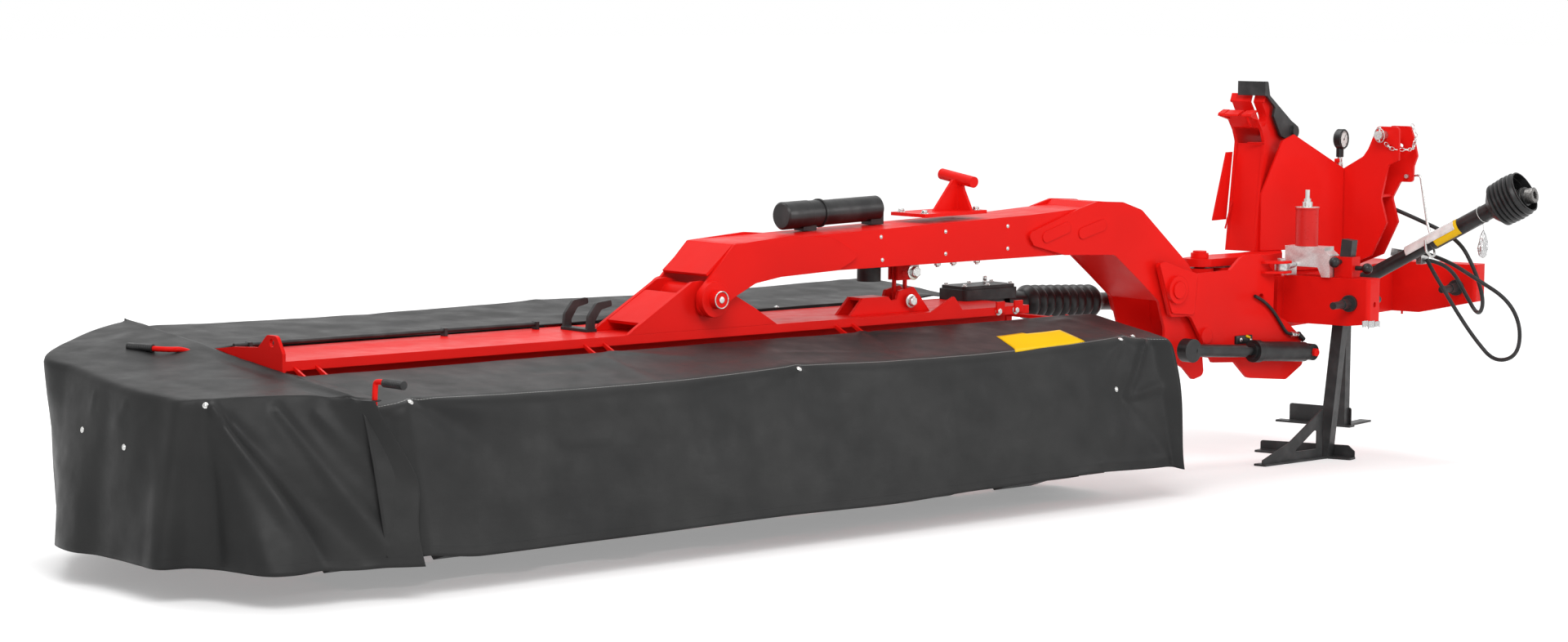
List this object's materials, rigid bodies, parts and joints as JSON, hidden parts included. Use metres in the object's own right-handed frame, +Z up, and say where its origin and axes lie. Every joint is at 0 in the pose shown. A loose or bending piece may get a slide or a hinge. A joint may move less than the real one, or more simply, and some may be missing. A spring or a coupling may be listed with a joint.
{
  "type": "disc mower",
  "caption": "Rear-mounted disc mower: a canvas-covered cutter deck hung from a folding boom, which swings on a three-point headstock with two parking stands.",
  "frame": {"origin": "the point on the ground under the vertical swing pin, between the headstock and the boom", "axes": "+X along the cutter bar from its outer end to the headstock, -Y towards the tractor, +Z up; the headstock is turned 12.7 degrees about +Z"},
  "size_m": [6.42, 1.6149, 1.447],
  "materials": {
    "red_paint": "gloss",
    "zinc": "satin",
    "can_paint": "gloss",
    "black": "satin",
    "bare_steel": "matt",
    "grey_paint": "satin",
    "canvas": "satin",
    "chrome": "gloss",
    "disc_steel": "matt",
    "rubber": "matt"
  },
  "bodies": {
    "headstock": {"headstock_beam": "red_paint", "pivot_plates": "red_paint", "swing_pin": "zinc", "tower": "red_paint", "mast": "red_paint", "lower_pins": "black", "top_link_pin": "zinc", "overload_block": "zinc", "spring_can": "can_paint", "gauge": "black", "pto_guard": "black", "pto_gearbox": "black", "stand_locks": "red_paint", "lock_knobs": "black", "pto_hook": "zinc", "hose_clip": "zinc", "coupler_hose": "rubber", "looped_hose": "rubber"},
    "pto_joint": {"pto_yoke": "bare_steel"},
    "near_stand": {"stand_near": "grey_paint"},
    "far_stand": {"stand_far": "grey_paint"},
    "latch_lever": {"latch": "black"},
    "swing_arm": {"swing_frame": "red_paint", "fold_pin": "zinc", "overload_eye": "zinc"},
    "lift_tube": {"lift_barrel": "black"},
    "lift_ram": {"lift_rod": "chrome"},
    "boom": {"boom_beam": "red_paint", "boom_sides": "red_paint", "gooseneck_plates": "red_paint", "transport_bar": "red_paint", "canister": "black", "deck_pin": "zinc", "strap_bolt": "red_paint", "boom_buffer": "rubber"},
    "deck": {"top_beam": "red_paint", "pivot_bracket": "red_paint", "cutter_bar": "red_paint", "deck_frame": "red_paint", "deck_gearbox": "black", "drive_guard": "black", "rear_cover": "canvas", "hook_bracket": "black", "link_bracket": "red_paint"},
    "front_guard": {"front_cover": "canvas", "front_guard_frame": "red_paint"},
    "side_guard": {"side_cover": "canvas", "side_guard_frame": "red_paint"},
    "rotor_1": {"disc_1": "disc_steel"},
    "rotor_2": {"disc_2": "disc_steel"},
    "rotor_3": {"disc_3": "disc_steel"},
    "rotor_4": {"disc_4": "disc_steel"},
    "rotor_5": {"disc_5": "disc_steel"},
    "rotor_6": {"disc_6": "disc_steel"},
    "rotor_7": {"disc_7": "disc_steel"},
    "rotor_8": {"disc_8": "disc_steel"}
  },
  "joints": [
    {"name": "swing", "type": "hinge", "parent": "headstock", "child": "swing_arm", "pos_m": [0, 0, 0.64], "axis": [0, 0, 1], "range_deg": [-25, 0]},
    {"name": "arm_fold", "type": "hinge", "parent": "swing_arm", "child": "boom", "pos_m": [-0.28, 0, 0.688], "axis": [0, 1, 0], "range_deg": [0, 100]},
    {"name": "deck_tilt", "type": "hinge", "parent": "boom", "child": "deck", "pos_m": [-2.525, 0, 0.77], "axis": [0, 1, 0], "range_deg": [-3, 5]},
    {"name": "lift_swivel", "type": "hinge", "parent": "swing_arm", "child": "lift_tube", "pos_m": [0.435, -0.185, 0.415], "axis": [0, 1, 0], "range_deg": [0, 13]},
    {"name": "lift_stroke", "type": "slide", "parent": "lift_tube", "child": "lift_ram", "axis": [-0.9976, 0, 0.0694], "range_m": [0, 0.31]},
    {"name": "near_stand_lift", "type": "slide", "parent": "headstock", "child": "near_stand", "axis": [0.0219, -0.0971, 0.995], "range_m": [0, 0.15]},
    {"name": "far_stand_lift", "type": "slide", "parent": "headstock", "child": "far_stand", "axis": [0, 0, 1], "range_m": [0, 0.15]},
    {"name": "latch_lift", "type": "hinge", "parent": "headstock", "child": "latch_lever", "pos_m": [0.66836, 0.21828, 1.246], "axis": [-0.2198, 0.9755, 0], "range_deg": [0, 30]},
    {"name": "pto_turn", "type": "hinge", "parent": "headstock", "child": "pto_joint", "pos_m": [1.08429, -0.62665, 1.00185], "axis": [0.215, -0.9542, 0.2079], "continuous": true},
    {"name": "front_guard_lift", "type": "hinge", "parent": "deck", "child": "front_guard", "pos_m": [-2.5, -0.135, 0.606], "axis": [-1, 0, 0], "range_deg": [0, 60]},
    {"name": "side_guard_lift", "type": "hinge", "parent": "deck", "child": "side_guard", "pos_m": [-4.212, 0.145, 0.65], "axis": [0, 0.9954, 0.0961], "range_deg": [0, 90]},
    {"name": "rotor_1_turn", "type": "hinge", "parent": "deck", "child": "rotor_1", "pos_m": [-1.04, -0.215, 0.09], "axis": [0, 0, 1], "continuous": true},
    {"name": "rotor_2_turn", "type": "hinge", "parent": "deck", "child": "rotor_2", "pos_m": [-1.455, -0.215, 0.09], "axis": [0, 0, 1], "continuous": true},
    {"name": "rotor_3_turn", "type": "hinge", "parent": "deck", "child": "rotor_3", "pos_m": [-1.87, -0.215, 0.09], "axis": [0, 0, 1], "continuous": true},
    {"name": "rotor_4_turn", "type": "hinge", "parent": "deck", "child": "rotor_4", "pos_m": [-2.285, -0.215, 0.09], "axis": [0, 0, 1], "continuous": true},
    {"name": "rotor_5_turn", "type": "hinge", "parent": "deck", "child": "rotor_5", "pos_m": [-2.7, -0.215, 0.09], "axis": [0, 0, 1], "continuous": true},
    {"name": "rotor_6_turn", "type": "hinge", "parent": "deck", "child": "rotor_6", "pos_m": [-3.115, -0.215, 0.09], "axis": [0, 0, 1], "continuous": true},
    {"name": "rotor_7_turn", "type": "hinge", "parent": "deck", "child": "rotor_7", "pos_m": [-3.53, -0.215, 0.09], "axis": [0, 0, 1], "continuous": true},
    {"name": "rotor_8_turn", "type": "hinge", "parent": "deck", "child": "rotor_8", "pos_m": [-3.945, -0.215, 0.09], "axis": [0, 0, 1], "continuous": true}
  ],
  "couplings": [
    {"joint": "lift_swivel", "follows": "arm_fold", "ratio": 0.13},
    {"joint": "lift_stroke", "follows": "arm_fold", "m_per_rad": 0.1776},
    {"joint": "rotor_2_turn", "follows": "rotor_1_turn", "ratio": -1},
    {"joint": "rotor_3_turn", "follows": "rotor_1_turn", "ratio": 1},
    {"joint": "rotor_4_turn", "follows": "rotor_1_turn", "ratio": -1},
    {"joint": "rotor_5_turn", "follows": "rotor_1_turn", "ratio": 1},
    {"joint": "rotor_6_turn", "follows": "rotor_1_turn", "ratio": -1},
    {"joint": "rotor_7_turn", "follows": "rotor_1_turn", "ratio": 1},
    {"joint": "rotor_8_turn", "follows": "rotor_1_turn", "ratio": -1}
  ]
}
